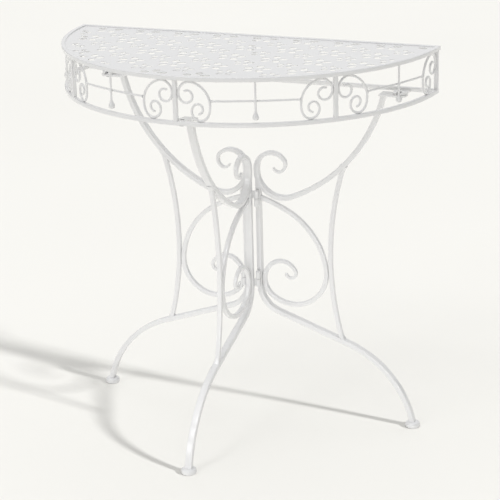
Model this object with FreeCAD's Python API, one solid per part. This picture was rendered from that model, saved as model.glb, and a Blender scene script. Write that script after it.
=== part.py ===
import FreeCAD, Part
import math
import os

from FreeCAD import Vector

# A half-round side table in white powder-coated iron: a pierced top with a scrolled apron,
# on three scrolled leg panels that hinge together and fold flat.
# Millimetres, +Z up, X along the straight back edge, the round front towards -Y.
# The origin lies on the floor, under the middle of the table's box.

# Fineness of the bends: the largest height of a bend above its straight stretches
bend_facet = 0.5
foot_sides = 20
round_sides = 14  # flat sides of knuckles and of the lugs' round ends
small_round_sides = 8  # flat sides of pins, bores, holes and drops

# Top and apron
table_radius = 380.0
table_height = 780.0
apron_height = 91.0  # top of the rim to the underside of the lower ring
frame_bar = 8.0  # square bar of rim, lower ring, back bars and posts
ring_setback = 2.0  # lower ring and posts stand back from the rim's outer face
lip_height = 2.0  # the rim stands this far above the pierced sheet
sheet_thickness = 1.0
bay_count = 4  # apron bays between the posts

# Pierced flowers: large ones on a grid, small ones in the middle of its cells
flower_pitch_x = 84.5
flower_pitch_y = 82.0
flower_start_x = 33.0  # a column of large flowers, from the middle of the back edge
flower_start_y = 30.0  # the first row of large flowers, from the back edge
petal_count = 5
large_petal_inner = 9.5
large_petal_outer = 26.5
large_petal_width = 13.0
small_petal_inner = 7.5
small_petal_outer = 19.5
small_petal_width = 9.0
petal_waist = 0.6  # widest place, as a share of the petal's length
petal_shoulder = 0.55  # width of the outer end, as a share of the petal's width
sheet_border = 5.0  # plain sheet kept inside the rim

# Apron wire: a C-scroll on each side of a post, a rod between two scrolls and a hanging drop
wire_size = 4.5
rod_size = 4.0  # square level rod, and the round one that hangs in front of it
rod_drop = 36.0  # middle of the rod below the rim
drop_width = 12.0
drop_height = 17.0
drop_clearance = 5.0  # lowest point of the drop above the lower ring
upper_tip_heading = 32.8  # degrees, of the wire where it starts in the upper curl
upper_tip_radius = 10.3
upper_curl_radius = 12.5
upper_shoulder_radius = 21.2
lower_curl_radius = 16.2
lower_tip_radius = 9.4
upper_tip_turn = 129.0
upper_curl_turn = 139.0
upper_shoulder_turn = 138.5
belly_turn = 101.0
lower_curl_turn = 200.0
lower_tip_turn = 222.0

# Leg panels, drawn with x outwards from the middle of the hinge bar
bar_width = 14.0  # across the panel
bar_thickness = 10.0  # in the panel
scroll_bar = 9.0  # square bar of C-scroll and brace
elbow_radius = 57.0
leg_slope = 19.0  # degrees below level
leg_run = 160.0
toe_radius = 211.0
toe_turn = 58.0
foot_diameter = 30.0
foot_height = 11.0
foot_edge = 3.0

# Upper arm: a long sweep down from the top, a bowl against the hinge bar and a tapered curl
arm_low = 458.57  # lowest place of the arm's middle line above the floor
arm_slope = 21.9  # degrees above level, of the arm where its bowl begins
arm_bowl_radius = 53.8
arm_bowl_turn = 125.3
arm_shoulder_radius = 32.9
arm_shoulder_turn = 121.7
arm_curl_radius = 17.4
arm_curl_turn = 104.4
arm_tip_radius = 11.8
arm_tip_turn = 104.0
arm_curl_width = 10.0
arm_curl_thickness = 6.5
arm_tip_width = 5.5
arm_tip_thickness = 4.0
arm_back = 3.0  # the bowl's middle line passes behind the middle of the hinge bar by this

# C-scroll between arm and leg, and the bowed brace that touches it
c_start_drop = 2.0  # start of the C-scroll below the lowest place of the arm
c_lift = 18.0  # lowest place of the C-scroll above the leg's elbow
c_slope = 15.8
c_shoulder_radius = 328.0
c_return_radius = 43.4
c_curl_radius = 33.4
c_tip_radius = 10.9
c_shoulder_turn = 11.7
c_back_turn = 55.2
c_belly_turn = 133.4
c_return_turn = 107.6
c_curl_turn = 100.4
c_tip_turn = 199.0
c_tip_size = 5.0
brace_top_flare = 29.0  # ends of the brace stand out from its waist
brace_bottom_flare = 25.0

# Fixing of the top: a tab on each arm lies under a lug of the top, with a screw through both
plate_thickness = 4.0
plate_width = 28.0
tab_pitch = 32.0  # screw to the middle of the arm's end
tab_lip = 1.5  # the tab stands past the inner side of the arm's end
lug_reach = 22.0  # screw to the bar that carries the lug
screw_diameter = 6.0
tab_gap = 0.3  # paint and play between a tab and the lug above it
tab_hole_play = 0.6  # over the screw's diameter
lug_hole_play = 2.0

# Hinges between the front panel and each side panel
knuckle_diameter = 9.0
knuckle_length = 16.5
knuckle_gap = 0.4
pin_diameter = 5.0
pin_length = 13.0
pin_play = 1.0  # bore over the pin's diameter
pin_end_play = 1.0
leaf_thickness = 4.0
panel_step = 20.0  # side panels stand this far behind the front hinge bar
hinge_step = 4.0  # hinge axis behind the middle of the front hinge bar
side_bar_offset = 14.3  # middle of a side hinge bar from the middle plane
hinge_offset = 15.2  # hinge axis from the middle plane

# Places that follow from the sizes above
ring_outer = table_radius - ring_setback
ring_middle = ring_outer - frame_bar / 2
ring_inner = ring_outer - frame_bar
ring_bottom = table_height - apron_height
ring_top = ring_bottom + frame_bar
rim_bottom = table_height - frame_bar
sheet_bottom = table_height - lip_height - sheet_thickness
rail_front = ring_setback + frame_bar  # in front of the back edge, as are the next three
side_plane = rail_front + lug_reach
front_bar_place = side_plane + panel_step
hinge_place = front_bar_place - hinge_step
screw_reach = ring_inner - lug_reach - front_bar_place
arm_end_reach = screw_reach - tab_pitch
tab_top = ring_bottom - tab_gap
tab_bottom = tab_top - plate_thickness


class BentPath:
    """Straight runs and tangent bends in the X-Z plane, from a point and a heading in degrees.

    A bend is a row of stations close enough for straight bar between them to follow it.
    """

    def __init__(self, x, z, heading):
        self.x = x
        self.z = z
        self.heading = math.radians(heading)
        self.length = 0.0
        self.stations = []
        self.joints = []
        self.centers = []
        self.mark_station()
        self.mark_joint()

    def mark_station(self):
        self.stations.append((self.length, self.x, self.z, self.heading))

    def mark_joint(self):
        self.joints.append(len(self.stations) - 1)

    def line(self, length):
        self.x += length * math.cos(self.heading)
        self.z += length * math.sin(self.heading)
        self.length += length
        self.centers.append(None)
        self.mark_station()
        self.mark_joint()

    def bend(self, radius, turn):
        """A bend to the left for a positive turn, to the right for a negative one."""
        side = math.copysign(radius, turn)
        center_x = self.x - side * math.sin(self.heading)
        center_z = self.z + side * math.cos(self.heading)
        largest_step = 2 * math.degrees(math.acos(1 - bend_facet / radius))
        steps = math.ceil(abs(turn) / largest_step)
        step = math.radians(turn) / steps
        for _ in range(steps):
            self.heading += step
            self.x = center_x + side * math.sin(self.heading)
            self.z = center_z - side * math.cos(self.heading)
            self.length += radius * abs(step)
            self.mark_station()
        self.centers.append((center_x, center_z))
        self.mark_joint()


def polygon(points):
    return Part.makePolygon(points + points[:1])


def flat_faces(a, b, c, d):
    """The four-sided face of these corners, or two triangles where they don't lie in one plane."""
    normal = (b - a).cross(d - a).normalize()
    if abs(normal.dot(c - a)) < 1e-6:
        return [Part.Face(polygon([a, b, c, d]))]
    return [Part.Face(polygon([a, b, c])), Part.Face(polygon([a, c, d]))]


def solid_through(outlines):
    """A solid with flat faces through a row of outlines that have equal numbers of corners."""
    faces = [Part.Face(polygon(outlines[0])), Part.Face(polygon(outlines[-1]))]
    for outline, following in zip(outlines, outlines[1:]):
        for index in range(len(outline)):
            faces += flat_faces(outline[index - 1], outline[index], following[index], following[index - 1])
    shell = Part.makeShell(faces)
    shell.sewShape()
    solid = Part.makeSolid(shell)
    if solid.Volume < 0:
        solid.reverse()
    return solid.removeSplitter()


def section(x, z, heading, width, thickness):
    """The corners of a rectangle across a path in the X-Z plane."""
    middle = Vector(x, 0, z)
    inwards = Vector(-math.sin(heading), 0, math.cos(heading)) * (thickness / 2)
    across = Vector(0, width / 2, 0)
    return [
        middle + inwards + across,
        middle - inwards + across,
        middle - inwards - across,
        middle + inwards - across,
    ]


def bar_along(path, sizes):
    """A bar through every station, with a width and thickness given at some joints of the path."""
    outlines = []
    for (joint, *size), (next_joint, *next_size) in zip(sizes, sizes[1:]):
        first = path.joints[joint]
        last = path.joints[next_joint]
        start = path.stations[first][0]
        span = path.stations[last][0] - start
        for length, x, z, heading in path.stations[first + bool(outlines) : last + 1]:
            share = (length - start) / span
            width, thickness = [a + share * (b - a) for a, b in zip(size, next_size)]
            outlines.append(section(x, z, heading, width, thickness))
    return solid_through(outlines)


def even_bar(path, width, thickness):
    return bar_along(path, [(0, width, thickness), (-1, width, thickness)])


def box(x0, x1, y0, y1, z0, z1):
    return Part.makeBox(x1 - x0, y1 - y0, z1 - z0, Vector(x0, y0, z0))


def cylinder(diameter, height, x, y, z):
    return Part.makeCylinder(diameter / 2, height, Vector(x, y, z))


def plate(points, bottom):
    """A flat fixing plate on the outline of these points."""
    face = Part.Face(polygon(points))
    face.translate(Vector(0, 0, bottom))
    return face.extrude(Vector(0, 0, plate_thickness))


def circle_points(radius, height, sides):
    angles = [2 * math.pi * index / sides for index in range(sides)]
    return [Vector(radius * math.cos(a), radius * math.sin(a), height) for a in angles]


def round_solid(outline, sides):
    """A round solid about the Z axis with flat sides, from a list of radius and height."""
    return solid_through([circle_points(radius, height, sides) for radius, height in outline])


def round_bar(diameter, bottom, top, sides):
    return round_solid([(diameter / 2, bottom), (diameter / 2, top)], sides)


def moved(shape, x, y, z):
    copy = shape.copy()
    copy.translate(Vector(x, y, z))
    return copy


def turned(shape, degrees):
    copy = shape.copy()
    copy.rotate(Vector(0, 0, 0), Vector(0, 0, 1), degrees)
    return copy


def mirrored(shape):
    return shape.mirror(Vector(0, 0, 0), Vector(1, 0, 0))


# Top, drawn from the middle of the back edge


def half_ring(outer, bottom, back):
    """A square bar bent to half a ring, in front of the plane y = -back."""
    ring = cylinder(2 * outer, frame_bar, 0, 0, bottom)
    ring = ring.cut(cylinder(2 * (outer - frame_bar), frame_bar, 0, 0, bottom))
    return ring.common(box(-outer, outer, -outer, -back, bottom, bottom + frame_bar))


def petal(x, y, inner, outer, width, angle):
    """A petal-shaped hole that points away from the flower's middle, as a list of points."""
    waist = inner + petal_waist * (outer - inner)
    shoulder = petal_shoulder * width
    outline = [
        (inner, 0),
        (waist, -width / 2),
        (outer, -shoulder / 2),
        (outer, shoulder / 2),
        (waist, width / 2),
    ]
    c = math.cos(angle)
    s = math.sin(angle)
    return [Vector(x + r * c - w * s, y + r * s + w * c, 0) for r, w in outline]


def flower_petals(x, y, inner, outer, width):
    """The petals of one flower that lie whole inside the plain border of the sheet."""
    border_radius = table_radius - frame_bar - sheet_border
    border_back = -frame_bar - sheet_border
    kept = []
    for index in range(petal_count):
        angle = math.radians(90 + 360 * index / petal_count)
        points = petal(x, y, inner, outer, width, angle)
        if all(p.Length < border_radius and p.y < border_back for p in points):
            kept.append(polygon(points))
    return kept


def top_sheet():
    radius = table_radius - frame_bar
    half = math.sqrt(radius**2 - frame_bar**2)
    left = Vector(-half, -frame_bar, 0)
    right = Vector(half, -frame_bar, 0)
    front = Vector(0, -radius, 0)
    wires = [Part.Wire([Part.Arc(left, front, right).toShape(), Part.makeLine(right, left)])]
    columns = math.ceil(2 * radius / flower_pitch_x)
    rows = math.ceil(radius / flower_pitch_y) + 1
    for column in range(-columns, columns + 1):
        for row in range(-1, rows):
            x = flower_start_x + column * flower_pitch_x
            y = -flower_start_y - row * flower_pitch_y
            wires += flower_petals(x, y, large_petal_inner, large_petal_outer, large_petal_width)
            x += flower_pitch_x / 2
            y -= flower_pitch_y / 2
            wires += flower_petals(x, y, small_petal_inner, small_petal_outer, small_petal_width)
    sheet = Part.Face(wires, "Part::FaceMakerBullseye")
    sheet.translate(Vector(0, 0, sheet_bottom))
    return sheet.extrude(Vector(0, 0, sheet_thickness))


def post_angle(index):
    """Angle of a post round the table from its left end; the end posts stand on the back rail."""
    end = math.asin((ring_setback + frame_bar / 2) / ring_middle)
    if index == 0:
        return end
    if index == bay_count:
        return math.pi - end
    return math.pi * index / bay_count


def post(index):
    bar = box(-frame_bar / 2, frame_bar / 2, -frame_bar / 2, frame_bar / 2, ring_top, rim_bottom)
    angle = post_angle(index)
    place = (-ring_middle * math.cos(angle), -ring_middle * math.sin(angle))
    return moved(turned(bar, 180 * index / bay_count), *place, 0)


def rear_post():
    """A bar in the middle of the open back, between the rail and the rim."""
    half = frame_bar / 2
    return box(-half, half, -rail_front, -ring_setback, ring_top, rim_bottom)


def scroll_path(start_x, start_z, belly_radius):
    path = BentPath(start_x, start_z, upper_tip_heading)
    path.bend(upper_tip_radius, -upper_tip_turn)
    path.bend(upper_curl_radius, -upper_curl_turn)
    path.bend(upper_shoulder_radius, -upper_shoulder_turn)
    path.bend(belly_radius, -belly_turn)
    path.bend(lower_curl_radius, -lower_curl_turn)
    path.bend(lower_tip_radius, -lower_tip_turn)
    return path


def fitted_scroll_path():
    """The apron scroll with the belly that makes it fill the height between ring and rim."""
    height = rim_bottom - ring_top - wire_size
    extents = []
    for belly_radius in (0.5 * height, height):
        path = scroll_path(0, 0, belly_radius)
        top = path.centers[2][1] + upper_shoulder_radius
        bottom = path.centers[4][1] - lower_curl_radius
        extents.append(top - bottom)
    share = (height - extents[0]) / (extents[1] - extents[0])
    belly_radius = 0.5 * height * (1 + share)
    path = scroll_path(0, 0, belly_radius)
    left = path.centers[2][0] - upper_shoulder_radius
    top = path.centers[2][1] + upper_shoulder_radius
    start_x = frame_bar / 2 + wire_size / 2 - left
    start_z = rim_bottom - wire_size / 2 - top
    return scroll_path(start_x, start_z, belly_radius), belly_radius


apron_path, apron_belly = fitted_scroll_path()
apron_wire = even_bar(apron_path, wire_size, wire_size)
belly_x, belly_z = apron_path.centers[3]
scroll_width = belly_x + apron_belly
rod_height = rim_bottom - rod_drop
rod_start = belly_x + math.sqrt((apron_belly + wire_size / 2) ** 2 - (rod_height - belly_z) ** 2)
chord_turn = math.asin(scroll_width / (2 * ring_middle))


def along_scroll(index, side):
    """Foot of a post and the direction of the scroll on its left (-1) or right (1) side."""
    angle = post_angle(index)
    foot = Vector(-ring_middle * math.cos(angle), -ring_middle * math.sin(angle), 0)
    heading = angle + side * chord_turn
    return foot, Vector(math.sin(heading), -math.cos(heading), 0) * side


def apron_scroll(index, side):
    foot, direction = along_scroll(index, side)
    wire = apron_wire if side > 0 else mirrored(apron_wire)
    heading = math.degrees(math.atan2(direction.y * side, direction.x * side))
    return moved(turned(wire, heading), foot.x, foot.y, 0)


def rod_ends(bay):
    first_foot, first_direction = along_scroll(bay, 1)
    second_foot, second_direction = along_scroll(bay + 1, -1)
    height = Vector(0, 0, rod_height)
    first = first_foot + first_direction * rod_start + height
    second = second_foot + second_direction * rod_start + height
    return first, second


def apron_rod(bay):
    """A level rod between two scrolls, bowed outwards until it touches the hanging rod."""
    first, second = rod_ends(bay)
    span = second - first
    middle = (first + second) * 0.5
    bow = ring_middle - rod_size - math.hypot(middle.x, middle.y)
    half_turn = 2 * math.atan(2 * bow / span.Length)
    radius = span.Length / (2 * math.sin(abs(half_turn)))
    path = BentPath(0, 0, -math.degrees(half_turn))
    path.bend(radius, math.degrees(half_turn))
    path.bend(radius, math.degrees(half_turn))
    rod = even_bar(path, rod_size, rod_size)
    rod.rotate(Vector(0, 0, 0), Vector(1, 0, 0), -90)
    return moved(turned(rod, math.degrees(math.atan2(span.y, span.x))), *first)


def apron_drop(bay):
    """A rod that hangs from the rim in front of the level rod and ends in a drop."""
    first, second = rod_ends(bay)
    middle = (first + second) * 0.5
    rod = rod_size / 2
    ball = drop_width / 2
    low = ring_top + drop_clearance
    outline = [
        (0.3 * ball, low),
        (0.8 * ball, low + 0.2 * ball),
        (ball, low + 0.8 * ball),
        (rod, low + drop_height),
        (rod, rim_bottom),
    ]
    drop = moved(round_solid(outline, small_round_sides), ring_middle, 0, 0)
    return turned(drop, math.degrees(math.atan2(middle.y, middle.x)))


def lug(root, slotted):
    """A plate with its screw place at the origin, its root at y = root and a round end at -Y."""
    half = plate_width / 2
    angles = [math.pi * (1 + step / round_sides) for step in range(round_sides + 1)]
    round_end = [Vector(half * math.cos(a), half * math.sin(a), 0) for a in angles]
    top = ring_bottom + plate_thickness
    body = plate([Vector(half, root, 0), Vector(-half, root, 0)] + round_end, ring_bottom)
    hole = screw_diameter + lug_hole_play
    body = body.cut(round_bar(hole, ring_bottom, top, small_round_sides))
    if slotted:
        body = body.cut(box(-hole / 2, hole / 2, -plate_width, 0, ring_bottom, top))
    return body


# Leg panel, drawn in the X-Z plane with the hinge bar at x = 0


def leg_path(elbow_height):
    path = BentPath(0, elbow_height, -90)
    path.bend(elbow_radius, 90 - leg_slope)
    path.line(leg_run)
    path.bend(toe_radius, -toe_turn)
    return path


def fitted_sweep():
    """Radius and turn of the long sweep from the arm's top end to the start of its bowl."""
    slope = math.radians(arm_slope)
    inwards_x = -math.sin(slope)
    inwards_z = math.cos(slope)
    run = arm_end_reach - bowl_x + arm_bowl_radius * inwards_x
    rise = tab_bottom - bowl_z + arm_bowl_radius * inwards_z
    radius = (run**2 + rise**2) / (2 * (run * inwards_x + rise * inwards_z))
    top_slope = math.atan2(run - radius * inwards_x, radius * inwards_z - rise)
    return radius, math.degrees(top_slope) - arm_slope


def arm_path():
    """The arm's middle line, from a short straight lead above its level cut."""
    top_slope = math.radians(arm_slope + arm_sweep_turn)
    start_x = arm_end_reach + bar_thickness * math.cos(top_slope)
    start_z = tab_bottom + bar_thickness * math.sin(top_slope)
    path = BentPath(start_x, start_z, arm_slope + arm_sweep_turn - 180)
    path.line(bar_thickness)
    path.bend(arm_sweep_radius, -arm_sweep_turn)
    path.bend(arm_bowl_radius, -arm_bowl_turn)
    path.bend(arm_shoulder_radius, -arm_shoulder_turn)
    path.bend(arm_curl_radius, -arm_curl_turn)
    path.bend(arm_tip_radius, -arm_tip_turn)
    return path


def c_path(start_z, back_radius, belly_radius):
    path = BentPath(0, start_z, -c_slope)
    path.bend(c_shoulder_radius, -c_shoulder_turn)
    path.bend(back_radius, -c_back_turn)
    path.bend(belly_radius, -c_belly_turn)
    path.bend(c_return_radius, -c_return_turn)
    path.bend(c_curl_radius, -c_curl_turn)
    path.bend(c_tip_radius, -c_tip_turn)
    return path


def c_fit(start_z, back_radius, belly_radius):
    """Reach of the returning side of the C-scroll and height of its lowest place."""
    path = c_path(start_z, back_radius, belly_radius)
    return path.centers[3][0] - c_return_radius, path.centers[2][1] - belly_radius


def fitted_c_path(start_z, low_z):
    """The C-scroll whose two large bends bring it back to the hinge bar at the wanted height."""
    wanted_x = bar_thickness / 2 + scroll_bar / 2
    trial = c_return_radius
    base_x, base_z = c_fit(start_z, trial, trial)
    back_x, back_z = c_fit(start_z, 2 * trial, trial)
    belly_x, belly_z = c_fit(start_z, trial, 2 * trial)
    a, b = back_x - base_x, belly_x - base_x
    c, d = back_z - base_z, belly_z - base_z
    dx, dz = wanted_x - base_x, low_z - base_z
    back_radius = trial * (1 + (dx * d - dz * b) / (a * d - b * c))
    belly_radius = trial * (1 + (dz * a - dx * c) / (a * d - b * c))
    return c_path(start_z, back_radius, belly_radius), belly_radius


leg = leg_path(foot_height - leg_path(0).z)
elbow_height = leg.stations[0][2]
elbow_end = leg.stations[leg.joints[1]][2]
foot_reach = leg.x
depth = front_bar_place + foot_reach + foot_diameter / 2
bowl_x = arm_bowl_radius - arm_back
bowl_z = arm_low + arm_bowl_radius
arm_sweep_radius, arm_sweep_turn = fitted_sweep()
arm = arm_path()
c_scroll, c_belly_radius = fitted_c_path(arm_low - c_start_drop, elbow_end + c_lift)
brace_waist = c_scroll.centers[2][0] + c_belly_radius + scroll_bar


def brace_path():
    """An arc between arm and leg whose waist touches the C-scroll."""
    top_x = brace_waist + brace_top_flare
    bottom_x = brace_waist + brace_bottom_flare
    sweep_x, sweep_z = arm.centers[1]
    top_z = sweep_z - math.sqrt(arm_sweep_radius**2 - (top_x - sweep_x) ** 2)
    _, run_x, run_z, _ = leg.stations[leg.joints[1]]
    bottom_z = run_z - (bottom_x - run_x) * math.tan(math.radians(leg_slope))
    balance = math.sqrt(brace_bottom_flare / brace_top_flare)
    waist_drop = (top_z - bottom_z) / (1 + balance)
    radius = (brace_top_flare**2 + waist_drop**2) / (2 * brace_top_flare)
    top_turn = math.degrees(math.asin(waist_drop / radius))
    bottom_turn = math.degrees(math.asin(waist_drop * balance / radius))
    path = BentPath(top_x, top_z, -90 - top_turn)
    path.bend(radius, top_turn + bottom_turn)
    return path


def leg_bar_shape():
    """Hinge bar and lower leg in one bent bar, coped to the arm above and cut level on the foot."""
    path = BentPath(0, bowl_z, -90)
    path.line(bowl_z - elbow_height)
    path.bend(elbow_radius, 90 - leg_slope)
    path.line(leg_run)
    path.bend(toe_radius, -toe_turn)
    path.line(bar_thickness)
    bar = even_bar(path, bar_width, bar_thickness)
    cope = Part.makeCylinder(
        arm_bowl_radius + bar_thickness / 2,
        2 * bar_width,
        Vector(bowl_x, -bar_width, bowl_z),
        Vector(0, 1, 0),
    )
    far = 2 * foot_reach
    return bar.cut(cope).cut(box(-far, far, -far, far, foot_height - far, foot_height))


def arm_shape():
    """Even along its sweep and bowl, then drawn out to a thin tip; cut level under the tab."""
    sizes = [
        (0, bar_width, bar_thickness),
        (3, bar_width, bar_thickness),
        (4, arm_curl_width, arm_curl_thickness),
        (6, arm_tip_width, arm_tip_thickness),
    ]
    bar = bar_along(arm, sizes)
    inner = arm_end_reach - plate_width
    outer = arm_end_reach + plate_width
    return bar.cut(box(inner, outer, -bar_width, bar_width, tab_bottom, tab_bottom + plate_width))


def brace_shape(arm_bar, leg_bar):
    bar = even_bar(brace_path(), scroll_bar, scroll_bar)
    return bar.cut(arm_bar).cut(leg_bar)


def foot_shape():
    """A round pad with chamfered edges."""
    radius = foot_diameter / 2
    outline = [
        (radius - foot_edge / 2, 0),
        (radius, foot_edge / 2),
        (radius, foot_height - foot_edge),
        (radius - foot_edge, foot_height),
    ]
    return moved(round_solid(outline, foot_sides), foot_reach, 0, 0)


def tab_shape():
    """A plate on the arm's end, with clipped outer corners and the hole for the fixing screw."""
    half = plate_width / 2
    clip = half / 2
    inner = arm_end_reach - bar_thickness / 2 - tab_lip
    outer = screw_reach + half
    outline = [
        (inner, half),
        (inner, -half),
        (outer - clip, -half),
        (outer, -clip),
        (outer, clip),
        (outer - clip, half),
    ]
    tab = plate([Vector(x, y, 0) for x, y in outline], tab_bottom)
    hole = round_bar(screw_diameter + tab_hole_play, tab_bottom, tab_top, small_round_sides)
    return tab.cut(moved(hole, screw_reach, 0, 0))


def leg_panel():
    arm_bar = arm_shape()
    leg_bar = leg_bar_shape()
    c_sizes = [(0, scroll_bar, scroll_bar), (4, scroll_bar, scroll_bar), (6, c_tip_size, c_tip_size)]
    return {
        "leg_bar": leg_bar,
        "arm": arm_bar,
        "c_scroll": bar_along(c_scroll, c_sizes).cut(leg_bar),
        "brace": brace_shape(arm_bar, leg_bar),
        "foot": foot_shape(),
        "tab": tab_shape(),
    }


# Hinges, drawn for the right side from the middle of the back edge


def knuckle(bottom, on_front, has_pin):
    """Half of a weld-on hinge: a barrel with a short leaf to its bar, with the pin or its bore."""
    half_leaf = leaf_thickness / 2
    top = bottom + knuckle_length
    body = round_bar(knuckle_diameter, bottom, top, round_sides)
    if on_front:
        leaf = box(bar_width / 2 - hinge_offset, 0, -half_leaf, half_leaf, bottom, top)
    else:
        bar_face = hinge_place - side_plane - bar_width / 2
        leaf = box(-half_leaf, half_leaf, 0, bar_face, bottom, top)
    body = body.fuse(leaf).removeSplitter()
    if has_pin:
        body = body.fuse(round_bar(pin_diameter, top, top + pin_length, small_round_sides))
    else:
        bore_top = bottom - knuckle_gap + pin_length + pin_end_play
        body = body.cut(round_bar(pin_diameter + pin_play, bottom, bore_top, small_round_sides))
    return moved(body.removeSplitter(), hinge_offset, -hinge_place, 0)


def hinge_halves():
    """The high hinge hangs on the side panel's pin, the low one on the front panel's."""
    high_lower = arm_low - c_start_drop - knuckle_length
    high_upper = high_lower + knuckle_length + knuckle_gap
    low_lower = elbow_height
    low_upper = low_lower + knuckle_length + knuckle_gap
    return {
        "high_hinge_front_half": knuckle(high_upper, True, False),
        "high_hinge_side_half": knuckle(high_lower, False, True),
        "low_hinge_front_half": knuckle(low_lower, True, True),
        "low_hinge_side_half": knuckle(low_upper, False, False),
    }


# Assembly

nodes = {
    "top_sheet": top_sheet(),
    "rim_arc": half_ring(table_radius, rim_bottom, frame_bar),
    "rim_back_bar": box(-table_radius, table_radius, -frame_bar, 0, rim_bottom, table_height),
    "ring_arc": half_ring(ring_outer, ring_bottom, rail_front),
    "rear_rail": box(-ring_outer, ring_outer, -rail_front, -ring_setback, ring_bottom, ring_top),
}
for index in range(bay_count + 1):
    nodes[f"post_{index + 1}"] = post(index)
nodes["rear_post"] = rear_post()
for bay in range(bay_count):
    nodes[f"bay_{bay + 1}_left_scroll"] = apron_scroll(bay, 1)
    nodes[f"bay_{bay + 1}_right_scroll"] = apron_scroll(bay + 1, -1)
    nodes[f"bay_{bay + 1}_rod"] = apron_rod(bay)
    nodes[f"bay_{bay + 1}_drop"] = apron_drop(bay)

side_screw = side_bar_offset + screw_reach
front_lug = moved(turned(lug(lug_reach, False), 180), 0, -ring_inner + lug_reach, 0)
nodes["front_lug"] = front_lug.cut(nodes["ring_arc"])
nodes["right_lug"] = moved(lug(lug_reach, True), side_screw, -side_plane, 0)
nodes["left_lug"] = mirrored(nodes["right_lug"])

for name, shape in leg_panel().items():
    nodes[f"front_{name}"] = moved(turned(shape, -90), 0, -front_bar_place, 0)
    nodes[f"right_{name}"] = moved(shape, side_bar_offset, -side_plane, 0)
    nodes[f"left_{name}"] = mirrored(nodes[f"right_{name}"])
for name, shape in hinge_halves().items():
    nodes[f"right_{name}"] = shape
    nodes[f"left_{name}"] = mirrored(shape)

os.makedirs("parts", exist_ok=True)
for name, shape in nodes.items():
    placed = moved(shape, 0, depth / 2, 0)
    placed.exportStep(os.path.join("parts", f"{name}.step"))
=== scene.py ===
import math

import bpy
from mathutils import Matrix, Vector


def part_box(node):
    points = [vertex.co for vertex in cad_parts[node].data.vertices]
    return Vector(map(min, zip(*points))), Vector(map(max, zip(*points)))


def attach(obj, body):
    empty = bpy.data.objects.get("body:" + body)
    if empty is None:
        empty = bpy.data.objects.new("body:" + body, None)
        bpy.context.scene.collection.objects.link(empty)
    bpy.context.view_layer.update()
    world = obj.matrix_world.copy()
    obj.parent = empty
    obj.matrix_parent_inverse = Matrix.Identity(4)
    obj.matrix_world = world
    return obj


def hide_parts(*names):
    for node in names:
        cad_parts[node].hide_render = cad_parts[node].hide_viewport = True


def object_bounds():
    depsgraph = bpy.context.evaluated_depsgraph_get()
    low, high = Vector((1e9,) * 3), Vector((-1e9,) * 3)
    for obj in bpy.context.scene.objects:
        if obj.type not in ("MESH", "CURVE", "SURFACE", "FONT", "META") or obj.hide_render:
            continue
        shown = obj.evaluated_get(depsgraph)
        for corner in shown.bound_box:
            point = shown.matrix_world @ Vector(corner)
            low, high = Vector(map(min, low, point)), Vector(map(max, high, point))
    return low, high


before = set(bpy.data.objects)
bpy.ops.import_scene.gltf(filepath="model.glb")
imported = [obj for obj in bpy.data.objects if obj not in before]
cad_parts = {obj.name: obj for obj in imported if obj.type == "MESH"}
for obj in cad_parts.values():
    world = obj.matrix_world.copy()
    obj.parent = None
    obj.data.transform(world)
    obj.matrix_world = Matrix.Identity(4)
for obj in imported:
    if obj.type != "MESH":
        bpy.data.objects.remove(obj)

# A half-round side table in white iron. Metres, in the frame of the solids: +Z up, the straight
# back edge along X and the round front towards -Y.

cad_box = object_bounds()
mm = 0.001

# Places and sizes read from the solids
back = cad_box[1].y
table_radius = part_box("rim_back_bar")[1].x
rim_low, rim_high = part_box("rim_arc")
ring_low, ring_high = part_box("ring_arc")
sheet_low, sheet_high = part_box("top_sheet")
rail_low, rail_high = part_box("rear_rail")
frame_bar = rim_high.z - rim_low.z
ring_radius = rail_high.x - frame_bar / 2
tab_low, tab_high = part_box("right_tab")
lug_low, lug_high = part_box("right_lug")
foot_low, foot_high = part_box("right_foot")
side_y = (tab_low.y + tab_high.y) / 2
front_y = back - 52 * mm
side_x = 14.3 * mm

# Softness of the edges and tips
bar_edge = 1.6 * mm
frame_edge = 1.3 * mm
plate_edge = 0.5 * mm
tip_edge = 1.0 * mm
wire_tip_edge = 0.9 * mm

# How far welded pieces run into each other, and the gap at the ends of the lower ring
weld_overlap = 0.4 * mm
sheet_overlap = 0.5 * mm
ring_end_gap = 1.6 * mm

# Fineness of the bends: how far a chord may lie off its arc, and the longest step in degrees
chord_error = 0.05 * mm
longest_step = 9.0
wire_sides = 12
half_ring_steps = 128

# Leg panel, drawn with x outwards from the middle of the hinge bar. A start is x, height and heading.
# A bend is its radius and its turn in degrees, left turns positive, and where the bar is drawn out
# also its size at the end of the bend.
bar_width = 14 * mm
bar_thickness = 10 * mm
scroll_bar = 9 * mm
arm_start = (266.4 * mm, 694.4 * mm, -103.9)
arm_even_bends = [(323.07 * mm, -54.22), (53.8 * mm, -125.3)]
arm_drawn_out = [(32.9 * mm, -121.7, 0.68), (17.4 * mm, -104.4, 0.53), (11.8 * mm, -104.0, 0.395)]
c_start = (0.0, 456.57 * mm, -15.8)
c_even_bends = [(328 * mm, -11.7), (152.88 * mm, -55.2), (73.281 * mm, -133.4), (43.4 * mm, -107.6)]
c_drawn_out = [(33.4 * mm, -100.4, 0.72), (10.9 * mm, -199.0, 0.556)]
brace_start = (181.787 * mm, 536.779 * mm, -107.207)
brace_bend = (647.92 * mm, 33.15)
bowl_middle = (50.8 * mm, 512.37 * mm)
bowl_outside = 58.8 * mm
elbow_height = 269.025 * mm
elbow_bend = (57 * mm, 71.0)
leg_run = 160 * mm
toe_bend = (211 * mm, -58.0)
foot_reach = 326.62 * mm
screw_reach = 296 * mm
toe_run = 3 * mm
arm_in_tab = 0.6 * mm
bar_in_bowl = 0.8 * mm
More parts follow.
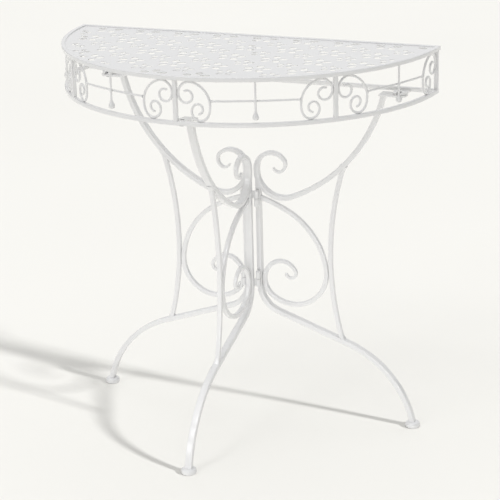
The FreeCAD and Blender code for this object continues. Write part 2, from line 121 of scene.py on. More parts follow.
# Swelling where the weld runs up on a bar: sizes from its end inwards, and the millimetres between
brace_weld = ([1.6, 1.32, 1.06, 1.0], [5.5, 4.0, 3.0])
rod_weld = ([1.5, 1.25, 1.0], [1.4, 1.6])

# Apron: bends of the round wire scroll, and the rods
wire = 4.5 * mm
rod = 4 * mm
scroll_start = (16.914 * mm, 752.005 * mm, 32.8)
scroll_bends = [
    (10.3 * mm, -129.0),
    (12.5 * mm, -139.0),
    (21.2 * mm, -138.5),
    (43.52 * mm, -101.0),
    (16.2 * mm, -200.0),
    (9.4 * mm, -222.0),
]
scroll_width = 65.683 * mm
rod_start = 67.012 * mm
rod_height = 736 * mm
bay_count = 4

# Pierced flowers of the top
flower_pitch = (84.5 * mm, 82 * mm)
flower_start = (33 * mm, 30 * mm)
# Petals by inner end, outer end and width
large_petal = (9.5 * mm, 26.5 * mm, 13 * mm)
small_petal = (7.5 * mm, 19.5 * mm, 9 * mm)
petal_count = 5
sheet_border = 5 * mm
# Columns and rows that reach past the sheet on all sides
flower_columns = range(-10, 11)
flower_rows = range(-1, 6)
# A petal is widest at this share of its length, and half its tip is this share of its width
petal_widest = 0.6
petal_half_tip = 0.275
# Nearer the root than each share of its length, the punch is narrower by a factor
petal_narrowing = [(0.52, 0.9), (0.25, 0.72)]
petal_sides = 14
# The punch leaves each hole this much wider all round than the solid's petal
punch_spread = 1.3 * mm
# It starts below the sheet and ends above it
punch_below = 2 * mm
punch_length = 6 * mm

# Hinges
knuckle = 9 * mm
knuckle_length = 16.5 * mm
leaf = 4 * mm
leaf_inset = 0.6 * mm
leaf_edge = 0.5 * mm
leaf_overlap = 0.3 * mm
hinge_x = 15.2 * mm
hinge_y = back - 48 * mm

# Fixing screws, their holes and the lugs
tab_hole = 6.6 * mm
lug_hole = 8 * mm
cutter_spare = 4 * mm
front_lug_root = 22 * mm
shank = 3 * mm
hexagon_radius = 6.9 * mm
flange_height = 1.4 * mm
head_height = 1.4 * mm
head_inset = 0.6 * mm
head_rise = 0.4 * mm


def linear(hex_colour):
    """An sRGB hex colour as the linear values that shaders take."""
    channels = [int(hex_colour[i : i + 2], 16) / 255 for i in (1, 3, 5)]
    return [c / 12.92 if c <= 0.04045 else ((c + 0.055) / 1.055) ** 2.4 for c in channels] + [1.0]


def add(tree, kind, links=(), **settings):
    """Adds a shader node, sets its inputs by name and links outputs into its inputs."""
    node = tree.nodes.new(kind)
    for name, value in settings.items():
        node.inputs[name.replace("_", " ")].default_value = value
    for output, name in links:
        tree.links.new(output, node.inputs[name])
    return node


def new_finish(name):
    """An empty finish: its material, its nodes, its shader and the place on the piece."""
    material = bpy.data.materials.new(name)
    material.use_nodes = True
    tree = material.node_tree
    place = add(tree, "ShaderNodeTexCoord").outputs["Object"]
    return material, tree, tree.nodes["Principled BSDF"], place


def white_powder_coat():
    """Satin white powder coat: the pale body of the whole table, with a soft skin of orange peel
    that breaks up highlights, and slightly greyer, duller patches where the coat lies thinner."""
    material, tree, shader, place = new_finish("satin_white_powder_coat")
    # Patches some 70 mm wide, as the coat's thickness wanders
    patches = add(tree, "ShaderNodeTexNoise", [(place, "Vector")], Scale=14.0, Detail=4.0, Roughness=0.6)
    tone = add(tree, "ShaderNodeValToRGB", [(patches.outputs["Fac"], "Fac")])
    thin, full = tone.color_ramp.elements
    thin.position, thin.color = 0.3, linear("#EBEBEC")
    full.position, full.color = 0.72, linear("#EFEFEF")
    tree.links.new(tone.outputs["Color"], shader.inputs["Base Color"])
    gloss = add(tree, "ShaderNodeMapRange", [(patches.outputs["Fac"], "Value")], To_Min=0.26, To_Max=0.18)
    tree.links.new(gloss.outputs["Result"], shader.inputs["Roughness"])
    # Orange peel about 3 mm across, coarser than life so that it still shows from arm's length
    peel = add(tree, "ShaderNodeTexNoise", [(place, "Vector")], Scale=330.0, Detail=2.0, Roughness=0.5)
    skin = add(tree, "ShaderNodeBump", [(peel.outputs["Fac"], "Height")], Strength=0.06, Distance=0.0003)
    # Shallow hammer marks of drawn bar, some 25 mm long
    dents = add(tree, "ShaderNodeTexNoise", [(place, "Vector")], Scale=42.0, Detail=1.0)
    bar = add(
        tree,
        "ShaderNodeBump",
        [(dents.outputs["Fac"], "Height"), (skin.outputs["Normal"], "Normal")],
        Strength=0.08,
        Distance=0.001,
    )
    tree.links.new(bar.outputs["Normal"], shader.inputs["Normal"])
    # A glossier film on top, which draws thin bright lines along edges and curls
    shader.inputs["Coat Weight"].default_value = 0.6
    shader.inputs["Coat Roughness"].default_value = 0.12
    return material


def dark_zinc():
    """Dark zinc plating of the fixing screws: a dull grey metal with cloudy, rubbed tones."""
    material, tree, shader, place = new_finish("dark_zinc_plating")
    # Clouds some 4 mm across
    clouds = add(tree, "ShaderNodeTexNoise", [(place, "Vector")], Scale=260.0, Detail=5.0, Roughness=0.65)
    tone = add(tree, "ShaderNodeValToRGB", [(clouds.outputs["Fac"], "Fac")])
    dark, rubbed = tone.color_ramp.elements
    dark.position, dark.color = 0.35, linear("#77797B")
    rubbed.position, rubbed.color = 0.7, linear("#A4A6A8")
    tree.links.new(tone.outputs["Color"], shader.inputs["Base Color"])
    dull = add(tree, "ShaderNodeMapRange", [(clouds.outputs["Fac"], "Value")], To_Min=0.55, To_Max=0.35)
    tree.links.new(dull.outputs["Result"], shader.inputs["Roughness"])
    shader.inputs["Metallic"].default_value = 0.9
    return material


powder_coat = white_powder_coat()
zinc = dark_zinc()


def place_into_mesh():
    """Puts the selected piece's place, turn and scale into its mesh."""
    bpy.ops.object.transform_apply(location=True, rotation=True, scale=True)


def begin(name):
    """Names the primitive just added and puts its place into its mesh."""
    piece = bpy.context.object
    piece.name = name
    place_into_mesh()
    return piece


def clear_selection():
    bpy.ops.object.select_all(action="DESELECT")


def only(piece):
    """Selects one piece alone."""
    clear_selection()
    piece.select_set(True)
    bpy.context.view_layer.objects.active = piece


def into_edit():
    bpy.ops.object.mode_set(mode="EDIT")


def all_points():
    bpy.ops.mesh.select_mode(type="VERT")
    bpy.ops.mesh.select_all(action="SELECT")


def out_of_edit():
    bpy.ops.object.mode_set(mode="OBJECT")


def select_faces(piece, wanted):
    """In edit mode, selects the faces that the test takes."""
    bpy.ops.mesh.select_mode(type="FACE")
    bpy.ops.mesh.select_all(action="DESELECT")
    out_of_edit()
    for face in piece.data.polygons:
        face.select = wanted(face)
    into_edit()


def select_points(piece, wanted):
    """In edit mode, selects the points that the test takes, by their place."""
    bpy.ops.mesh.select_mode(type="VERT")
    bpy.ops.mesh.select_all(action="DESELECT")
    out_of_edit()
    for point in piece.data.vertices:
        point.select = wanted(point.co)
    into_edit()


def extrude(step):
    bpy.ops.mesh.extrude_region_move(TRANSFORM_OT_translate={"value": step})


def face_outwards():
    """Turns every face outwards and leaves edit mode."""
    all_points()
    bpy.ops.mesh.normals_make_consistent(inside=False)
    out_of_edit()


def thicken(step):
    """Pulls a flat outline along a step to make it solid, and leaves edit mode."""
    all_points()
    extrude(step)
    face_outwards()


def round_corners(edge):
    """Rounds the corners of a bar's square section."""
    all_points()
    bpy.ops.mesh.bevel(offset=edge, segments=2, affect="VERTICES")
    all_points()


def modified(piece, kind, **settings):
    """Gives a piece one modifier and applies it."""
    only(piece)
    bpy.ops.object.modifier_add(type=kind)
    modifier = piece.modifiers[-1]
    for name, value in settings.items():
        setattr(modifier, name, value)
    bpy.ops.object.modifier_apply(modifier=modifier.name)


def smooth(piece, degrees=50):
    """Soft shading over the rounded edges, with flats kept flat."""
    only(piece)
    bpy.ops.object.shade_smooth_by_angle(angle=math.radians(degrees))
    modified(piece, "WEIGHTED_NORMAL", keep_sharp=True)


def joined(first, *others):
    """Joins pieces into the first of them."""
    clear_selection()
    for piece in (first, *others):
        piece.select_set(True)
    bpy.context.view_layer.objects.active = first
    bpy.ops.object.join()
    return first


def dress(piece, body, *nodes, material=None):
    """Gives a finished piece its finish, its body and the solids that it stands for."""
    piece.data.materials.clear()
    piece.data.materials.append(material or powder_coat)
    if nodes:
        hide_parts(*nodes)
    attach(piece, body)
    return piece


def placed_copy(piece, name, place):
    """A copy with its own mesh, its place in the mesh."""
    copy = piece.copy()
    copy.data = piece.data.copy()
    copy.name = name
    bpy.context.collection.objects.link(copy)
    only(copy)
    copy.matrix_world = place
    place_into_mesh()
    return copy


def shifted(piece, x):
    """Moves a piece outwards along its leg panel."""
    only(piece)
    bpy.ops.transform.translate(value=(x, 0, 0))
    place_into_mesh()
    return piece


def discard(piece):
    bpy.data.objects.remove(piece, do_unlink=True)


class DrawnBar:
    """A bar drawn out in the X-Z plane: straight runs are extruded, bends are spun, and the end is
    made smaller step by step where the smith drew it out. Without a thickness it is a round wire."""

    def __init__(self, name, start, width, thickness=None):
        self.x, self.z, degrees = start
        self.heading = math.radians(degrees)
        clear_selection()
        turn = (0, math.pi / 2 - self.heading, 0)
        if thickness is None:
            bpy.ops.mesh.primitive_circle_add(
                vertices=wire_sides, radius=width / 2, location=(self.x, 0, self.z), rotation=turn
            )
            self.piece = begin(name)
            into_edit()
        else:
            bpy.ops.mesh.primitive_plane_add(size=1, location=(self.x, 0, self.z), rotation=turn)
            bpy.context.object.scale = (thickness, width, 1)
            self.piece = begin(name)
            into_edit()
            round_corners(bar_edge)
            bpy.ops.mesh.delete(type="ONLY_FACE")
        all_points()
        self.size = 1.0

    def resize(self, size):
        factor = size / self.size
        bpy.ops.transform.resize(value=(factor, factor, factor), center_override=(self.x, 0, self.z))
        self.size = size

    def run(self, length):
        step = Vector((length * math.cos(self.heading), 0, length * math.sin(self.heading)))
        extrude(step)
        self.x += step.x
        self.z += step.z

    def bend(self, radius, turn, size=None):
        side = math.copysign(radius, turn)
        middle_x = self.x - side * math.sin(self.heading)
        middle_z = self.z + side * math.cos(self.heading)
        arc_step = math.degrees(2 * math.acos(1 - chord_error / radius))
        steps = math.ceil(abs(turn) / min(arc_step, longest_step))
        first = self.size
        drawn_out = size is not None
        spins = steps if drawn_out else 1
        angle = math.radians(turn) / spins
        for step in range(spins):
            bpy.ops.mesh.spin(
                steps=1 if drawn_out else steps,
                angle=angle,
                center=(middle_x, 0, middle_z),
                axis=(0, 1, 0),
            )
            self.heading += angle
            self.x = middle_x + side * math.sin(self.heading)
            self.z = middle_z - side * math.cos(self.heading)
            if drawn_out:
                self.resize(first + (size - first) * (step + 1) / steps)

    def bend_with_welds(self, radius, turn, weld):
        """Bends the whole bar, with the swelling of a weld at both of its ends."""
        sizes, lengths = weld
        per_mm = math.degrees(mm / radius)
        self.resize(sizes[0])
        for length, size in zip(lengths, sizes[1:]):
            self.bend(radius, length * per_mm, size)
        self.bend(radius, turn - 2 * sum(lengths) * per_mm)
        for length, size in zip(lengths[::-1], sizes[-2::-1]):
            self.bend(radius, length * per_mm, size)

    def finished(self, round_ends=0.0):
        """Closes both ends and, if asked, rounds off their rims."""
        all_points()
        bpy.ops.mesh.fill_holes(sides=0)
        face_outwards()
        if round_ends:
            into_edit()
            # The two ends are the only faces with more than four corners
            select_faces(self.piece, lambda face: len(face.vertices) > 4)
            bpy.ops.mesh.bevel(offset=round_ends, segments=2)
            out_of_edit()
        return self.piece


def cut_flat(piece, point, normal, lowest=0.0):
    """Cuts off what lies beyond a plane, only above a height, and closes the cut."""
    only(piece)
    into_edit()
    select_faces(piece, lambda face: face.center.z > lowest)
    bpy.ops.mesh.bisect(plane_co=point, plane_no=normal, use_fill=True, clear_outer=True)
    out_of_edit()


def turned(name, outline, sides=24):
    """A round piece about the Z axis, raised ring by ring from a circle."""
    radius, height = outline[0]
    clear_selection()
    bpy.ops.mesh.primitive_circle_add(
        vertices=sides, radius=radius, fill_type="NGON", location=(0, 0, height)
    )
    piece = begin(name)
    into_edit()
    all_points()
    for next_radius, next_height in outline[1:]:
        extrude((0, 0, next_height - height))
        factor = next_radius / radius
        bpy.ops.transform.resize(value=(factor, factor, 1), center_override=(0, 0, next_height))
        radius, height = next_radius, next_height
    face_outwards()
    return piece


def square_bar(name, low, high, along, edge=frame_edge):
    """A straight square bar between two corners, its section extruded along one axis."""
    middle = (Vector(low) + Vector(high)) / 2
    size = Vector(high) - Vector(low)
    clear_selection()
    if along == "X":
        bpy.ops.mesh.primitive_plane_add(
            size=1, location=(low[0], middle.y, middle.z), rotation=(0, math.pi / 2, 0)
        )
        bpy.context.object.scale = (size.z, size.y, 1)
        step = (size.x, 0, 0)
    else:
        bpy.ops.mesh.primitive_plane_add(size=1, location=(middle.x, middle.y, low[2]))
        bpy.context.object.scale = (size.x, size.y, 1)
        step = (0, 0, size.z)
    piece = begin(name)
    into_edit()
    round_corners(edge)
    thicken(step)
    return piece


def bent_ring(name, radius, low, high, back_gap):
    """A square bar bent to half a ring round the middle of the back edge."""
    middle = radius - frame_bar / 2
    first = math.asin(back_gap / middle)
    clear_selection()
    start = (middle * math.cos(first), back - middle * math.sin(first), (low + high) / 2)
    bpy.ops.mesh.primitive_plane_add(size=1, location=start, rotation=(math.pi / 2, 0, -first))
    bpy.context.object.scale = (frame_bar, high - low, 1)
    piece = begin(name)
    into_edit()
    round_corners(frame_edge)
    bpy.ops.mesh.delete(type="ONLY_FACE")
    all_points()
    turn = math.pi - 2 * first
    bpy.ops.mesh.spin(steps=half_ring_steps, angle=turn, center=(0, back, 0), axis=(0, 0, 1))
    all_points()
    bpy.ops.mesh.fill_holes(sides=0)
    face_outwards()
    return piece


def cut_out(piece, cutter):
    """Takes the cutter's form out of a piece."""
    modified(piece, "BOOLEAN", operation="DIFFERENCE", solver="EXACT", object=cutter)
    discard(cutter)


def soften_plate(piece):
    """Rounds every sharp edge of a plate."""
    modified(piece, "BEVEL", width=plate_edge, segments=2, angle_limit=math.radians(40))


# Top


def petal_cutter(inner, outer, width):
    """A petal-shaped punch that points along +X, widest towards its outer end."""
    inner, outer, width = inner - punch_spread, outer + punch_spread, width + 2 * punch_spread
    clear_selection()
    bpy.ops.mesh.primitive_circle_add(
        vertices=petal_sides,
        radius=0.5,
        fill_type="NGON",
        location=((inner + outer) / 2, 0, sheet_low.z - punch_below),
    )
    bpy.context.object.scale = (outer - inner, width, 1)
    punch = begin("petal_punch")
    into_edit()
    for share, factor in petal_narrowing:
        limit = inner + share * (outer - inner)
        select_points(punch, lambda place: place.x < limit)
        bpy.ops.transform.resize(value=(1, factor, 1), center_override=(0, 0, 0))
    thicken((0, 0, punch_length))
    return punch


def inside_border(x, y, angle, inner, outer, width):
    """True if a petal lies whole inside the plain border of the sheet."""
    limit = table_radius - frame_bar - sheet_border
    widest = inner + petal_widest * (outer - inner)
    tip = petal_half_tip
    for reach, side in ((inner, 0), (widest, -0.5), (widest, 0.5), (outer, -tip), (outer, tip)):
        point_x = x + reach * math.cos(angle) - side * width * math.sin(angle)
        point_y = y + reach * math.sin(angle) + side * width * math.cos(angle)
        if math.hypot(point_x, point_y) > limit or point_y > -frame_bar - sheet_border:
            return False
    return True


def punch_flowers(punch, sizes, shift):
    """Copies of a petal punch at every petal of one kind of flower."""
    copies = []
    for column in flower_columns:
        for row in flower_rows:
            x = flower_start[0] + (column + shift) * flower_pitch[0]
            y = -flower_start[1] - (row + shift) * flower_pitch[1]
            for index in range(petal_count):
                angle = math.radians(90 + 360 * index / petal_count)
                if inside_border(x, y, angle, *sizes):
                    place = Matrix.Translation((x, back + y, 0)) @ Matrix.Rotation(angle, 4, "Z")
                    copies.append(placed_copy(punch, "petal_hole", place))
    discard(punch)
    return copies


def pierced_sheet():
    """The half-round sheet of the top with its pattern of five-petal flowers punched through."""
    clear_selection()
    bpy.ops.mesh.primitive_circle_add(
        vertices=2 * half_ring_steps,
        radius=table_radius - frame_bar + sheet_overlap,
        fill_type="NGON",
        location=(0, back, sheet_low.z),
    )
    sheet = begin("pierced_top")
    cut_flat(sheet, (0, back - frame_bar + sheet_overlap, 0), (0, 1, 0))
    into_edit()
    thicken((0, 0, sheet_high.z - sheet_low.z))
    holes = punch_flowers(petal_cutter(*large_petal), large_petal, 0.0)
    holes += punch_flowers(petal_cutter(*small_petal), small_petal, 0.5)
    cut_out(sheet, joined(*holes))
    dress(sheet, "tabletop", "top_sheet")


def top_frame():
    """Rim and lower ring, bent, and the straight bars that close them at the back."""
    rail_width = rail_high.y - rail_low.y
    pieces = {
        "rim_arc": bent_ring("rim", table_radius, rim_low.z, rim_high.z, frame_bar - weld_overlap),
        "ring_arc": bent_ring("lower_ring", rail_high.x, ring_low.z, ring_high.z, rail_width + ring_end_gap),
        "rim_back_bar": square_bar("rim_back_bar_soft", *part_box("rim_back_bar"), "X"),
        "rear_rail": square_bar("rear_rail_soft", rail_low, rail_high, "X"),
    }
    for node, piece in pieces.items():
        smooth(piece)
        dress(piece, "tabletop", node)


pierced_sheet()
top_frame()


# Apron


def post_angle(index):
    """Angle of a post round the table from its left end; the end posts stand on the back rail."""
    end = math.asin((back - (rail_low.y + rail_high.y) / 2) / ring_radius)
    if index == 0:
        return end
    if index == bay_count:
        return math.pi - end
    return math.pi * index / bay_count


def post_foot(index):
    angle = post_angle(index)
    return Vector((-ring_radius * math.cos(angle), back - ring_radius * math.sin(angle), 0))


def along_scroll(index, side):
    """Direction of the scroll on the left (-1) or right (1) side of a post."""
    heading = post_angle(index) + side * math.asin(scroll_width / (2 * ring_radius))
    return Vector((math.sin(heading), -math.cos(heading), 0)) * side


def apron_posts():
    half = frame_bar / 2
    low = (-half, -half, ring_high.z - weld_overlap)
    high = (half, half, rim_low.z + weld_overlap)
    upright = square_bar("upright", low, high, "Z")
    smooth(upright)
    for index in range(bay_count + 1):
        turn = Matrix.Rotation(math.pi * index / bay_count, 4, "Z")
        place = Matrix.Translation(post_foot(index)) @ turn
        dress(placed_copy(upright, f"upright_{index + 1}", place), "tabletop", f"post_{index + 1}")
    place = Matrix.Translation((0, (rail_low.y + rail_high.y) / 2, 0))
    dress(placed_copy(upright, "rear_upright", place), "tabletop", "rear_post")
    discard(upright)


def apron_scrolls():
    wire_scroll = DrawnBar("wire_scroll", scroll_start, wire)
    for bend in scroll_bends:
        wire_scroll.bend(*bend)
    scroll = wire_scroll.finished(wire_tip_edge)
    smooth(scroll)
    for bay in range(bay_count):
        for index, side, name in ((bay, 1, "left"), (bay + 1, -1, "right")):
            direction = along_scroll(index, side)
            turn = Matrix.Rotation(math.atan2(direction.y, direction.x), 4, "Z")
            place = Matrix.Translation(post_foot(index)) @ turn
            copy = placed_copy(scroll, f"wire_scroll_{bay + 1}_{name}", place)
            dress(copy, "tabletop", f"bay_{bay + 1}_{name}_scroll")
    discard(scroll)


def rod_ends(bay):
    height = Vector((0, 0, rod_height))
    first = post_foot(bay) + along_scroll(bay, 1) * rod_start + height
    second = post_foot(bay + 1) + along_scroll(bay + 1, -1) * rod_start + height
    return first, second


def rod_middle(bay):
    """Middle of the straight line between a rod's ends, from the middle of the back edge."""
    first, second = rod_ends(bay)
    middle = (first + second) / 2
    return Vector((middle.x, middle.y - back))


def apron_rods():
    """The level rods, bowed outwards, with the swelling of a weld where they meet the scrolls."""
    for bay in range(bay_count):
        first, second = rod_ends(bay)
        span = second - first
        bow = ring_radius - rod - rod_middle(bay).length
        half_turn = 2 * math.atan(2 * bow / span.length)
        radius = span.length / (2 * math.sin(half_turn))
        half_degrees = math.degrees(half_turn)
        level = DrawnBar("level_rod", (0, 0, -half_degrees), rod)
        level.bend_with_welds(radius, 2 * half_degrees, rod_weld)
        level_rod = level.finished()
        smooth(level_rod)
        turn = Matrix.Rotation(math.atan2(span.y, span.x), 4, "Z") @ Matrix.Rotation(-math.pi / 2, 4, "X")
        copy = placed_copy(level_rod, f"level_rod_{bay + 1}", Matrix.Translation(first) @ turn)
        dress(copy, "tabletop", f"bay_{bay + 1}_rod")
        discard(level_rod)


def hanging_drops():
    """A thin rod that hangs from the rim, welded to the level rod, and ends in a tear drop."""
    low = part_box("bay_1_drop")[0].z
    half = rod / 2
    outline = [
        (1.2 * mm, low),
        (3.2 * mm, low + 0.35 * mm),
        (4.8 * mm, low + 1.4 * mm),
        (5.7 * mm, low + 3.0 * mm),
        (6.0 * mm, low + 5.0 * mm),
        (5.6 * mm, low + 7.2 * mm),
        (4.6 * mm, low + 9.6 * mm),
        (3.4 * mm, low + 12.0 * mm),
        (2.5 * mm, low + 14.4 * mm),
        (half, low + 17.0 * mm),
        (half, rod_height - 3.2 * mm),
        (1.4 * half, rod_height - 1.6 * mm),
        (1.4 * half, rod_height + 1.2 * mm),
        (half, rod_height + 2.8 * mm),
        (half, rim_low.z - 2.0 * mm),
        (1.3 * half, rim_low.z - 1.0 * mm),
        (1.7 * half, rim_low.z),
    ]
    drop = turned("tear_drop", outline, 20)
    smooth(drop, 65)
    for bay in range(bay_count):
        outwards = rod_middle(bay).normalized() * ring_radius
        place = Matrix.Translation((outwards.x, back + outwards.y, 0))
        dress(placed_copy(drop, f"tear_drop_{bay + 1}", place), "tabletop", f"bay_{bay + 1}_drop")
    discard(drop)


apron_posts()
apron_scrolls()
apron_rods()
hanging_drops()


# Leg panels, modelled once with x outwards from the middle of the hinge bar


def panel_arm():
    """The arm that sweeps down from the top, bowls against the hinge bar and curls to a thin tip."""
    arm = DrawnBar("arm", arm_start, bar_width, bar_thickness)
    arm.run(bar_thickness)
    for bend in arm_even_bends + arm_drawn_out:
        arm.bend(*bend)
    piece = arm.finished(tip_edge)
    cut_flat(piece, (0, 0, tab_low.z + arm_in_tab), (0, 0, 1))
    return piece


def panel_leg_bar():
    """Hinge bar and lower leg in one bent bar, its top cut on the slant to sit against the bowl."""
    top = bowl_middle[1]
    bar = DrawnBar("leg_bar", (0, top, -90.0), bar_width, bar_thickness)
    bar.run(top - elbow_height)
    bar.bend(*elbow_bend)
    bar.run(leg_run)
    bar.bend(*toe_bend)
    bar.run(toe_run)
    piece = bar.finished()
    half = bar_thickness / 2
    inner = top - math.sqrt(bowl_outside**2 - (bowl_middle[0] - half) ** 2)
    outer = top - math.sqrt(bowl_outside**2 - (bowl_middle[0] + half) ** 2)
    slant = Vector((outer - inner, 0, bar_thickness)).normalized()
    cut_flat(piece, Vector((half, 0, inner)) + slant * bar_in_bowl, slant, elbow_height)
    return piece


def panel_c_scroll():
    """The large scroll below the arm, which ends in a thin curl."""
    c_scroll = DrawnBar("c_scroll", c_start, scroll_bar, scroll_bar)
    for bend in c_even_bends + c_drawn_out:
        c_scroll.bend(*bend)
    return c_scroll.finished(tip_edge)


def panel_brace():
    """The bowed brace, flared at both ends where the weld runs up on it."""
    brace = DrawnBar("brace", brace_start, scroll_bar, scroll_bar)
    brace.bend_with_welds(*brace_bend, brace_weld)
    return brace.finished()


def panel_foot():
    """A round pad with a domed shoulder and a groove above its rubbing edge."""
    radius = (foot_high.x - foot_low.x) / 2
    outline = [
        (radius - 2.2 * mm, 0),
        (radius - 0.7 * mm, 0.5 * mm),
        (radius, 1.8 * mm),
        (radius, 3.6 * mm),
        (radius - 0.3 * mm, 4.3 * mm),
        (radius - 0.2 * mm, 5.0 * mm),
        (radius - 0.1 * mm, 6.6 * mm),
        (radius - 0.9 * mm, 8.4 * mm),
        (radius - 2.6 * mm, 9.9 * mm),
        (radius - 5.2 * mm, 10.8 * mm),
        (radius - 8.2 * mm, foot_high.z),
    ]
    foot = turned("foot", outline, 32)
    return shifted(foot, foot_reach)


def screw_hole(diameter, x, y, low, high):
    """A round cutter for a screw hole."""
    clear_selection()
    depth = high - low + cutter_spare
    bpy.ops.mesh.primitive_cylinder_add(
        vertices=24, radius=diameter / 2, depth=depth, location=(x, y, (low + high) / 2)
    )
    return begin("screw_hole")


def plate_from(name, low, high):
    """A flat plate's blank, still without thickness."""
    middle = (Vector(low) + Vector(high)) / 2
    clear_selection()
    bpy.ops.mesh.primitive_plane_add(size=1, location=(middle.x, middle.y, low[2]))
    bpy.context.object.scale = (high[0] - low[0], high[1] - low[1], 1)
    piece = begin(name)
    into_edit()
    return piece


def panel_tab():
    """The plate on the arm's end, with clipped outer corners and the hole for the screw."""
    half = (tab_high.y - tab_low.y) / 2
    low = (tab_low.x - side_x, -half, tab_low.z)
    high = (tab_high.x - side_x, half, tab_high.z)
    tab = plate_from("tab", low, high)
    select_points(tab, lambda place: place.x > (low[0] + high[0]) / 2)
    bpy.ops.mesh.bevel(offset=half / 2, segments=1, affect="VERTICES")
    thicken((0, 0, tab_high.z - tab_low.z))
    cut_out(tab, screw_hole(tab_hole, screw_reach, 0, tab_low.z, tab_high.z))
    soften_plate(tab)
    return tab


def fixing_screw():
    """A screw from below through tab and lug, with a low hexagon head on a round flange."""
    clear_selection()
    bpy.ops.mesh.primitive_circle_add(
        vertices=6, radius=hexagon_radius, fill_type="NGON", location=(0, 0, tab_low.z - flange_height)
    )
    head = begin("fixing_screw")
    into_edit()
    all_points()
    extrude((0, 0, -head_height))
    bpy.ops.mesh.inset(thickness=head_inset, depth=head_rise)
    face_outwards()
    flange = turned(
        "flange",
        [
            (8.0 * mm, tab_low.z - 1.6 * mm),
            (9.6 * mm, tab_low.z - 1.0 * mm),
            (10.0 * mm, tab_low.z - 0.3 * mm),
            (9.8 * mm, tab_low.z),
            (shank, tab_low.z),
            (shank, lug_high.z - 2.8 * mm),
            (shank - 0.6 * mm, lug_high.z - 2.2 * mm),
        ],
    )
    return shifted(joined(head, flange), screw_reach)


def leg_panels():
    pieces = {
        "arm": panel_arm(),
        "leg_bar": panel_leg_bar(),
        "c_scroll": panel_c_scroll(),
        "brace": panel_brace(),
        "foot": panel_foot(),
        "tab": panel_tab(),
    }
    places = {
        "front": Matrix.Translation((0, front_y, 0)) @ Matrix.Rotation(-math.pi / 2, 4, "Z"),
        "right": Matrix.Translation((side_x, side_y, 0)),
        "left": Matrix.Translation((-side_x, side_y, 0)) @ Matrix.Rotation(math.pi, 4, "Z"),
    }
    for name, piece in pieces.items():
        smooth(piece)
        for side, place in places.items():
            copy = placed_copy(piece, f"{side}_{name}_forged", place)
            dress(copy, f"{side}_leg", f"{side}_{name}")
        discard(piece)
    screw = fixing_screw()
    smooth(screw)
    for side, place in places.items():
        dress(placed_copy(screw, f"{side}_fixing_screw", place), f"{side}_leg", material=zinc)
    discard(screw)


leg_panels()


# Lugs under the lower ring


def lug_plate(name, root, round_end, width, slotted):
    """A lug from its root to its rounded end along -Y, with its screw place at the origin."""
    lug = plate_from(name, (-width / 2, round_end, lug_low.z), (width / 2, root, lug_high.z))
    select_points(lug, lambda place: place.y < (root + round_end) / 2)
    # A hair under half the width, so that the two rounded corners don't meet
    bpy.ops.mesh.bevel(offset=0.499 * width, segments=10, affect="VERTICES")
    thicken((0, 0, lug_high.z - lug_low.z))
    cut_out(lug, screw_hole(lug_hole, 0, 0, lug_low.z, lug_high.z))
    if slotted:
        clear_selection()
        bpy.ops.mesh.primitive_cube_add(size=1, location=(0, -width / 2, (lug_low.z + lug_high.z) / 2))
        bpy.context.object.scale = (lug_hole, width, 4 * (lug_high.z - lug_low.z))
        cut_out(lug, begin("slot"))
    soften_plate(lug)
    smooth(lug)
    return lug


def lugs():
    width = lug_high.x - lug_low.x
    screw_y = lug_low.y + width / 2
    slotted = lug_plate("slotted_lug", lug_high.y - screw_y, -width / 2, width, True)
    for side, sign in (("right", 1), ("left", -1)):
        place = Matrix.Translation((sign * (lug_low.x + lug_high.x) / 2, screw_y, 0))
        dress(placed_copy(slotted, f"{side}_lug_soft", place), "tabletop", f"{side}_lug")
    discard(slotted)
    plain = lug_plate("plain_lug", front_lug_root, -width / 2, width, False)
    place = Matrix.Translation((0, front_y - screw_reach, 0)) @ Matrix.Rotation(math.pi, 4, "Z")
    dress(placed_copy(plain, "front_lug_soft", place), "tabletop", "front_lug")
    discard(plain)


lugs()


# Hinges


def hinge_half(name, bottom, on_front, sign):
    """Half of a weld-on hinge: a barrel with softened ends and the short leaf to its bar."""
    top = bottom + knuckle_length
    radius = knuckle / 2
    barrel = turned(
        name,
        [
            (radius - 1.0 * mm, bottom),
            (radius - 0.3 * mm, bottom + 0.3 * mm),
            (radius, bottom + 1.0 * mm),
            (radius, top - 1.0 * mm),
            (radius - 0.3 * mm, top - 0.3 * mm),
            (radius - 1.0 * mm, top),
        ],
        28,
    )
    piece = placed_copy(barrel, name, Matrix.Translation((sign * hinge_x, hinge_y, 0)))
    discard(barrel)
    if on_front:
        ends = sorted((sign * bar_width / 2, sign * hinge_x))
        low = (ends[0], hinge_y - leaf / 2, bottom + leaf_inset)
        high = (ends[1], hinge_y + leaf / 2, top - leaf_inset)
    else:
        low = (sign * hinge_x - leaf / 2, hinge_y, bottom + leaf_inset)
        high = (sign * hinge_x + leaf / 2, side_y - bar_width / 2 + leaf_overlap, top - leaf_inset)
    joined(piece, square_bar("hinge_leaf", low, high, "Z", leaf_edge))
    smooth(piece)
    return piece


def hinges():
    for side, sign in (("left", -1), ("right", 1)):
        for height in ("high", "low"):
            for half in ("front", "side"):
                node = f"{side}_{height}_hinge_{half}_half"
                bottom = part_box(node)[0].z
                piece = hinge_half(f"{node}_soft", bottom, half == "front", sign)
                body = "front_leg" if half == "front" else f"{side}_leg"
                dress(piece, body, node)


hinges()


# Studio: a pale seamless floor, an even room, its lamps and the photograph's view


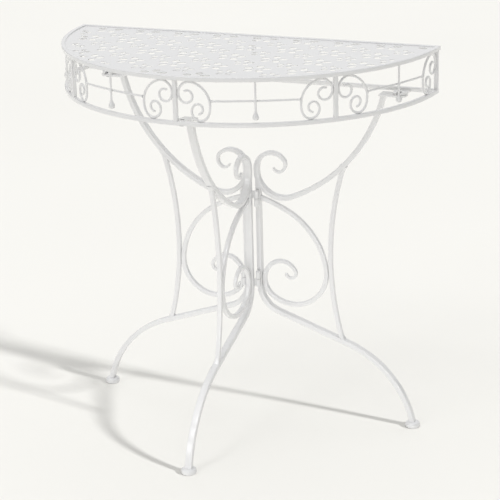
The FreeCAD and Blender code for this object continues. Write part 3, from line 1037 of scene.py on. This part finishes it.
def pale_floor():
    """Warm white studio paper, almost even, with the faintest mottling."""
    floor_width = 60
    clear_selection()
    bpy.ops.mesh.primitive_plane_add(size=floor_width, location=(0, 0, 0))
    floor = begin("studio_floor")
    material, tree, shader, place = new_finish("studio_paper")
    # Mottling more than a metre wide
    mottle = add(tree, "ShaderNodeTexNoise", [(place, "Vector")], Scale=0.6, Detail=2.0)
    tone = add(tree, "ShaderNodeValToRGB", [(mottle.outputs["Fac"], "Fac")])
    dim, bright = tone.color_ramp.elements
    dim.position, dim.color = 0.3, linear("#D5D4D0")
    bright.position, bright.color = 0.7, linear("#D7D6D2")
    tree.links.new(tone.outputs["Color"], shader.inputs["Base Color"])
    shader.inputs["Roughness"].default_value = 0.9
    shader.inputs["Specular IOR Level"].default_value = 0.1
    floor.data.materials.append(material)
    return floor


def hung(light, place, towards):
    """Hangs a light at a place and turns it towards a direction."""
    lamp = bpy.data.objects.new(light.name, light)
    bpy.context.collection.objects.link(lamp)
    lamp.location = place
    lamp.rotation_euler = Vector(towards).to_track_quat("-Z", "Y").to_euler()
    return lamp


def studio_lamp(name, energy, spread, towards):
    """A far lamp of even strength, with shadows as soft as its spread in degrees is wide."""
    light = bpy.data.lights.new(name, "SUN")
    light.energy = energy
    light.angle = math.radians(spread)
    return hung(light, (0, 0, 0), towards)


def low_card():
    """A white card low in front, which lifts the legs more than the apron."""
    light = bpy.data.lights.new("low_card", "AREA")
    light.energy = 0.6
    light.shape = "RECTANGLE"
    light.size, light.size_y = 1.2, 0.3
    light.spread = math.radians(50)
    return hung(light, place=(0.35, -1.35, 0.2), towards=(-0.25, 1.25, 0.0))


def link_floor(lamp, floor, state):
    """Has a lamp light the floor alone (INCLUDE) or everything but the floor (EXCLUDE)."""
    lit = bpy.data.collections.new(f"lit_by_{lamp.name}")
    lit.objects.link(floor)
    lit.collection_objects[0].light_linking.link_state = state
    lamp.light_linking.receiver_collection = lit


def studio_light(floor):
    """An even pale room with a soft box overhead, a low white card in front, a tall window for long
    glints and a bright back wall. A lamp on the right lights the floor alone, for a clear shadow of an
    evenly lit table."""
    world = bpy.data.worlds.new("pale_room")
    world.use_nodes = True
    room = world.node_tree.nodes["Background"]
    room.inputs["Color"].default_value = linear("#FFFFFF")
    room.inputs["Strength"].default_value = 0.33
    bpy.context.scene.world = world
    studio_lamp("soft_box", energy=1.17, spread=80, towards=(0.1, 0.15, -1.0))
    link_floor(low_card(), floor, "EXCLUDE")
    pane_drops = (0.22, 0.45, 0.75, 1.25)
    for pane, drop in enumerate(pane_drops):
        studio_lamp(f"window_pane_{pane + 1}", energy=0.11, spread=9, towards=(0.3, 0.65, -drop))
    studio_lamp("soft_back", energy=0.65, spread=80, towards=(0.1, -0.85, -0.55))
    floor_lamp = studio_lamp("floor_lamp", energy=3.2, spread=4.5, towards=(-1.69, 0.25, -1.0))
    link_floor(floor_lamp, floor, "INCLUDE")


def photo_camera():
    """The photograph's own view: long lens, from the right and a little above."""
    # In radians and metres, fitted to the photograph's edges
    azimuth, elevation, roll = 0.402767, 0.330478, -0.0253864
    distance = 3.4258
    target = Vector((-0.01818, back - 0.00846, 0.33090))
    right = Vector((math.cos(azimuth), math.sin(azimuth), 0))
    away = Vector(
        (
            math.sin(azimuth) * math.cos(elevation),
            -math.cos(azimuth) * math.cos(elevation),
            math.sin(elevation),
        )
    )
    up = away.cross(right)
    camera_right = right * math.cos(roll) + up * math.sin(roll)
    camera_up = up * math.cos(roll) - right * math.sin(roll)
    data = bpy.data.cameras.new("photo_camera")
    data.lens = 119.8
    data.sensor_width = 36.0
    data.clip_end = 100.0
    camera = bpy.data.objects.new("photo_camera", data)
    bpy.context.collection.objects.link(camera)
    turn = Matrix((camera_right, camera_up, away)).transposed().to_4x4()
    camera.matrix_world = Matrix.Translation(target + away * distance) @ turn
    bpy.context.scene.camera = camera


studio_light(pale_floor())
photo_camera()
bpy.context.scene.view_settings.view_transform = "Standard"
